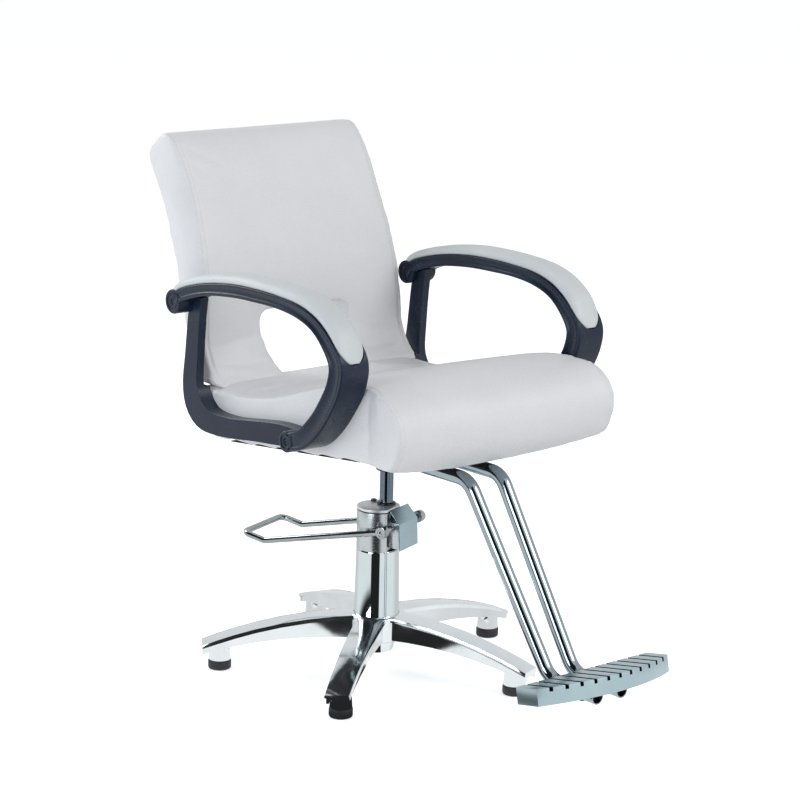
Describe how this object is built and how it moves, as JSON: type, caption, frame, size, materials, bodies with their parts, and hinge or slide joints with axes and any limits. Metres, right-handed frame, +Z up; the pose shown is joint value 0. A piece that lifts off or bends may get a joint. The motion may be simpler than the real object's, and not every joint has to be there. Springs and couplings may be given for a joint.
{
  "type": "styling chair",
  "caption": "Upholstered salon styling chair with a pedal-pumped hydraulic column on a star base, a swivelling seat, looped padded arms and a tubular footrest.",
  "frame": {"origin": "centre of the bounding box in plan, on the floor under the glides", "axes": "+Z up, the sitter faces -Y, +X is the right-hand side of the chair as seen from the front"},
  "size_m": [0.599, 1.0514, 0.944],
  "materials": {
    "polished_star": "polished",
    "glide_rubber": "matte",
    "chrome": "polished",
    "pump_casting": "satin",
    "cap_steel": "satin",
    "seal_rubber": "matte",
    "cover_sheet": "satin",
    "fastener_steel": "satin",
    "black_steel": "satin",
    "coated_fabric": "satin",
    "arm_moulding": "satin",
    "plywood": "matte",
    "dust_cloth": "matte",
    "footplate_aluminium": "satin",
    "gland_brass": "satin",
    "machined_steel": "satin"
  },
  "bodies": {
    "base": {"star_base": "polished_star", "glide_1": "glide_rubber", "glide_2": "glide_rubber", "glide_3": "glide_rubber", "glide_4": "glide_rubber", "glide_5": "glide_rubber", "column_tube": "chrome", "reservoir_floor": "machined_steel", "base_washer": "machined_steel", "base_bolt": "fastener_steel", "pressure_cylinder": "machined_steel", "pump_head": "pump_casting", "head_gasket": "seal_rubber", "head_cap": "cap_steel", "ram_gland": "gland_brass", "ram_wiper": "seal_rubber", "filler_screw": "fastener_steel", "pump_block": "pump_casting", "pump_cover": "cover_sheet", "plunger_spring": "machined_steel"},
    "piston_carriage": {"piston": "machined_steel", "piston_seal": "seal_rubber"},
    "seat": {"arm_bolt_left_1": "fastener_steel", "arm_bolt_left_2": "fastener_steel", "arm_bolt_right_1": "fastener_steel", "arm_bolt_right_2": "fastener_steel", "arm_front_left": "arm_moulding", "arm_front_right": "arm_moulding", "arm_pad_left": "coated_fabric", "arm_pad_right": "coated_fabric", "arm_post_left": "arm_moulding", "arm_post_right": "arm_moulding", "back_cushion": "coated_fabric", "back_rail_left": "black_steel", "back_rail_right": "black_steel", "dust_cover": "dust_cloth", "footplate": "footplate_aluminium", "footplate_screw_left": "fastener_steel", "footplate_screw_right": "fastener_steel", "footrest_clamp_front": "black_steel", "footrest_clamp_rear": "black_steel", "footrest_tube_left": "chrome", "footrest_tube_right": "chrome", "plate_bolt_1": "fastener_steel", "plate_bolt_2": "fastener_steel", "plate_bolt_3": "fastener_steel", "plate_bolt_4": "fastener_steel", "ram": "chrome", "seat_board": "plywood", "seat_cushion": "coated_fabric", "seat_plate": "black_steel", "seat_socket": "black_steel", "side_rail_left": "black_steel", "side_rail_right": "black_steel"},
    "pedal": {"pedal_shaft": "machined_steel", "pedal_clamp_near": "chrome", "pedal_clamp_far": "chrome", "pump_finger": "machined_steel", "pedal_lever": "chrome"},
    "plunger": {"pump_plunger": "machined_steel"}
  },
  "joints": [
    {"name": "lift", "type": "slide", "parent": "base", "child": "piston_carriage", "axis": [0, 0, 1], "range_m": [-0.035, 0.1]},
    {"name": "seat_swivel", "type": "hinge", "parent": "piston_carriage", "child": "seat", "pos_m": [0, 0.08618, 0.3], "axis": [0, 0, 1], "continuous": true},
    {"name": "pedal_press", "type": "hinge", "parent": "base", "child": "pedal", "pos_m": [0.0108, 0.0571, 0.269], "axis": [-0.9373, -0.3486, 0], "range_deg": [0, 20], "stiffness_Nm_per_rad": 5, "springref_deg": -28.65},
    {"name": "plunger_stroke", "type": "slide", "parent": "base", "child": "plunger", "axis": [0, 0, -1], "range_m": [0, 0.0057], "deforming": ["plunger_spring"]}
  ],
  "couplings": [
    {"joint": "plunger_stroke", "follows": "pedal_press", "m_per_rad": 0.016}
  ]
}
